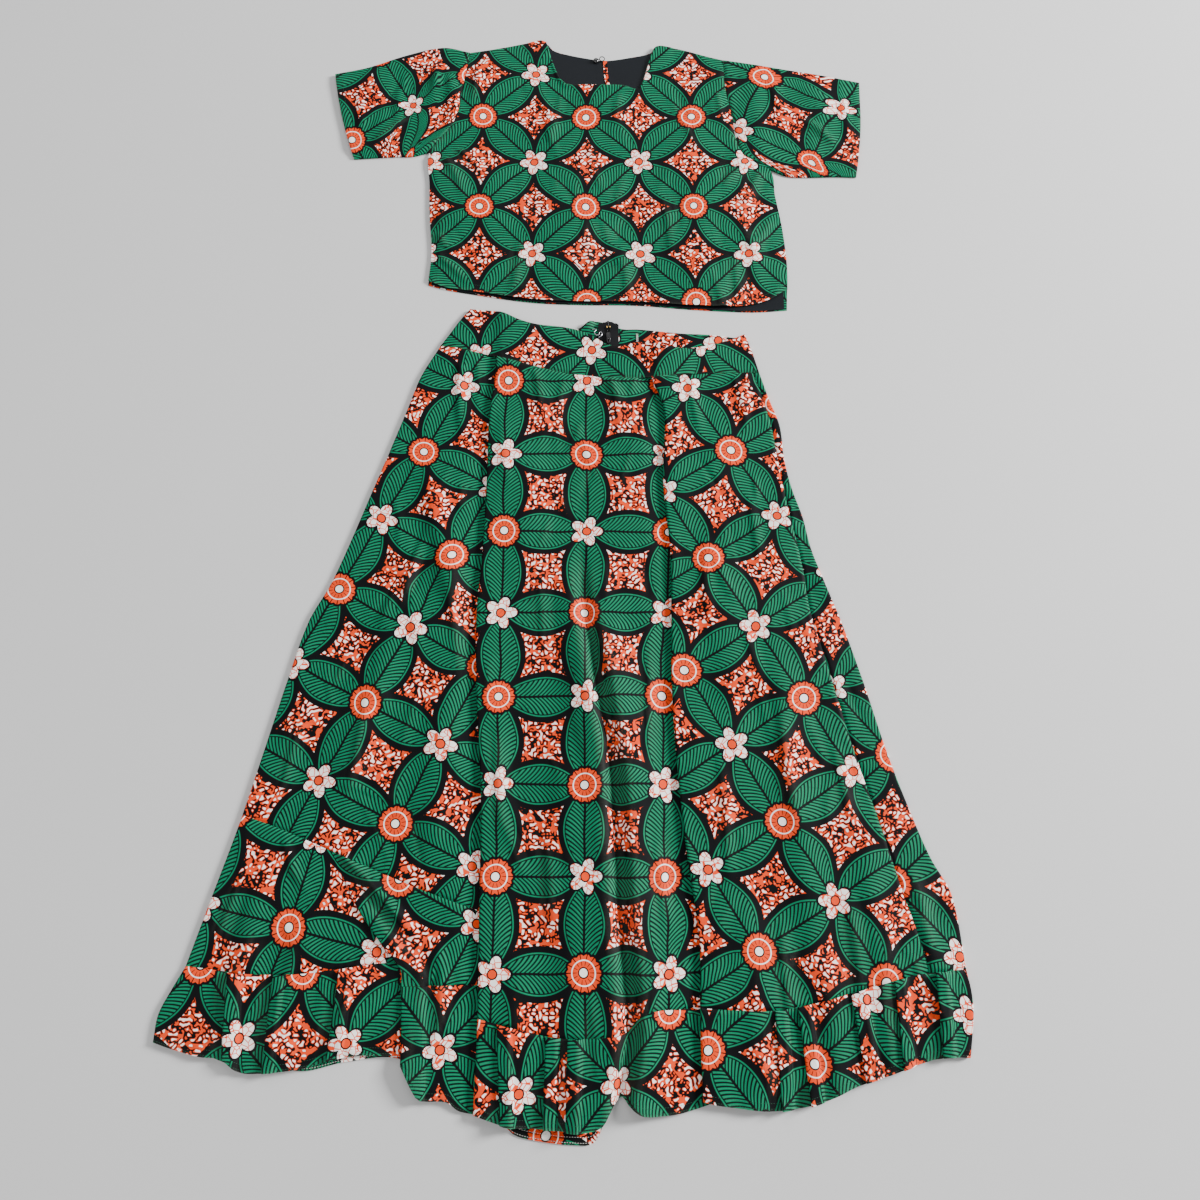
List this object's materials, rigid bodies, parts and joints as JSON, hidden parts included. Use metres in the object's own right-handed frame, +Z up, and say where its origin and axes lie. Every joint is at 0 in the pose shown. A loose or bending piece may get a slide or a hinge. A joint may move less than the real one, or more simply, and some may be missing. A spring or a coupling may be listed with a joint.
{
  "type": "african print crop top and maxi skirt set",
  "caption": "Short-sleeved crop top and long flared panelled skirt with waistband and pleated hem ruffle, in wax-print cotton, laid flat on a surface",
  "frame": {"origin": "centre of the bounding box of the laid set, on the surface that it rests on", "axes": "+Z up from the surface, +Y along the garments from the skirt hem to the neck, +X to the viewer's right"},
  "size_m": [0.9762, 1.5524, 0.0152],
  "materials": {
    "print_cloth": "printed plain-weave cotton with a slight wax sheen, green leaves on an orange and white ground",
    "lining": "smooth near-black slate lining, dull",
    "black_cloth": "black woven tape and cord, matt",
    "button": "black, polished, domed",
    "black_metal": "black enamel, semi-gloss",
    "hook_wire": "bright bent wire"
  },
  "bodies": {
    "root": {"topFront": "print_cloth", "topBackLeft": "print_cloth", "topBackRight": "print_cloth", "sleeveLeft": "print_cloth", "sleeveRight": "print_cloth", "slitEdge": "print_cloth", "neckLiningLeft": "lining", "neckLiningRight": "lining", "hemLining": "lining", "neckButton": "button", "neckLoop": "black_cloth", "bandFront": "print_cloth", "bandBackLeft": "print_cloth", "bandBackRight": "print_cloth", "frontLeft": "print_cloth", "frontLeftLower": "print_cloth", "frontCentre": "print_cloth", "frontRight": "print_cloth", "sideRight": "print_cloth", "backLeft": "print_cloth", "backRight": "print_cloth", "ruffleLeft": "print_cloth", "ruffleCentre": "print_cloth", "ruffleRight": "print_cloth", "ruffleBackLeft": "print_cloth", "ruffleBackRight": "print_cloth", "zipTapeLeft": "black_cloth", "zipTapeRight": "black_cloth", "zipSlider": "black_metal", "waistHook": "hook_wire"}
  },
  "joints": []
}
